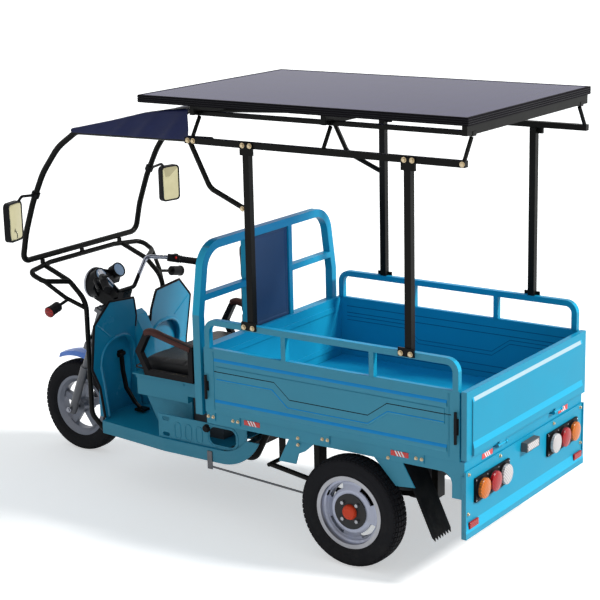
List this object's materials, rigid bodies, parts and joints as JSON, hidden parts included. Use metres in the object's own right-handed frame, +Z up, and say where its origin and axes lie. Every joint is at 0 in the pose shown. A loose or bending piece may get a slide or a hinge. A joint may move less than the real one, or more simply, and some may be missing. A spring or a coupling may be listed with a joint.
{
  "type": "solar cargo tricycle",
  "caption": "Electric cargo tricycle with an open drop-tailgate bed, rider's platform and seat, windscreen frame and cover, and a post-borne roof frame that carries a framed solar module.",
  "frame": {"origin": "on the ground below the centre of the overall box", "axes": "+X forward, +Y to the rider's left, +Z up"},
  "size_m": [2.9499, 1.3392, 2.042],
  "materials": {
    "blue_paint": "gloss",
    "blue_plastic": "gloss",
    "black_paint": "satin",
    "black_plastic": "matte",
    "black_vinyl": "grained",
    "navy_vinyl": "satin",
    "lamp_lens": "gloss",
    "grey_plastic": "matte",
    "black_aluminium": "satin",
    "cell_glass": "gloss",
    "cast_metal": "rough",
    "flap_rubber": "matte",
    "bright_steel": "polished",
    "lavender_paint": "gloss",
    "wheel_alloy": "satin",
    "wheel_steel": "satin",
    "tyre": "matte"
  },
  "bodies": {
    "frame": {"chassis_frame": "black_paint", "floor_pan": "blue_paint", "side_panels": "blue_paint", "seat_box": "blue_paint", "battery_pack": "grey_plastic", "backbone": "black_paint", "seat_cushion": "black_vinyl", "armrests": "black_plastic", "leg_shields": "blue_plastic", "leg_shield_centre": "blue_plastic", "brake_pedal": "black_paint", "headboard_hoop": "blue_paint", "backrest": "black_vinyl", "bed_floor": "blue_paint", "bed_front_wall": "blue_paint", "side_board_left": "blue_paint", "side_board_right": "blue_paint", "board_latches": "black_plastic", "guard_rails": "blue_paint", "rear_panel": "blue_paint", "tail_lamps": "lamp_lens", "plate_lamp": "grey_plastic", "roof_posts": "black_paint", "roof_rails": "black_paint", "module_bearers": "black_paint", "solar_frame": "black_aluminium", "solar_glass": "cell_glass", "windscreen_frame": "black_paint", "canopy": "navy_vinyl", "front_carrier": "black_paint", "turn_signals": "black_plastic", "mirrors": "black_plastic", "rear_axle": "black_paint", "drive_motor": "cast_metal", "leaf_springs": "black_paint", "fender_plates": "blue_paint", "mud_flaps": "flap_rubber", "brake_rod": "bright_steel"},
    "steering": {"fork": "bright_steel", "handlebar": "bright_steel", "instruments": "black_plastic", "front_mudguard": "lavender_paint"},
    "front_wheel": {"front_rim": "wheel_alloy", "front_tyre": "tyre"},
    "rear_wheel_left": {"rear_rim_left": "wheel_steel", "rear_tyre_left": "tyre"},
    "rear_wheel_right": {"rear_rim_right": "wheel_steel", "rear_tyre_right": "tyre"},
    "tailgate": {"tailgate": "blue_paint"}
  },
  "joints": [
    {"name": "steering", "type": "hinge", "parent": "frame", "child": "steering", "pos_m": [1.18791, 0, 0.23502], "axis": [-0.3746, 0, 0.9272], "range_deg": [-35, 35]},
    {"name": "front_wheel_spin", "type": "hinge", "parent": "steering", "child": "front_wheel", "pos_m": [1.225, 0, 0.25], "axis": [0, 1, 0], "continuous": true},
    {"name": "rear_wheel_left_spin", "type": "hinge", "parent": "frame", "child": "rear_wheel_left", "pos_m": [-0.875, 0.562, 0.255], "axis": [0, 1, 0], "continuous": true},
    {"name": "rear_wheel_right_spin", "type": "hinge", "parent": "frame", "child": "rear_wheel_right", "pos_m": [-0.875, -0.562, 0.255], "axis": [0, 1, 0], "continuous": true},
    {"name": "tailgate_hinge", "type": "hinge", "parent": "frame", "child": "tailgate", "pos_m": [-1.458, 0, 0.584], "axis": [0, -1, 0], "range_deg": [0, 150]}
  ]
}
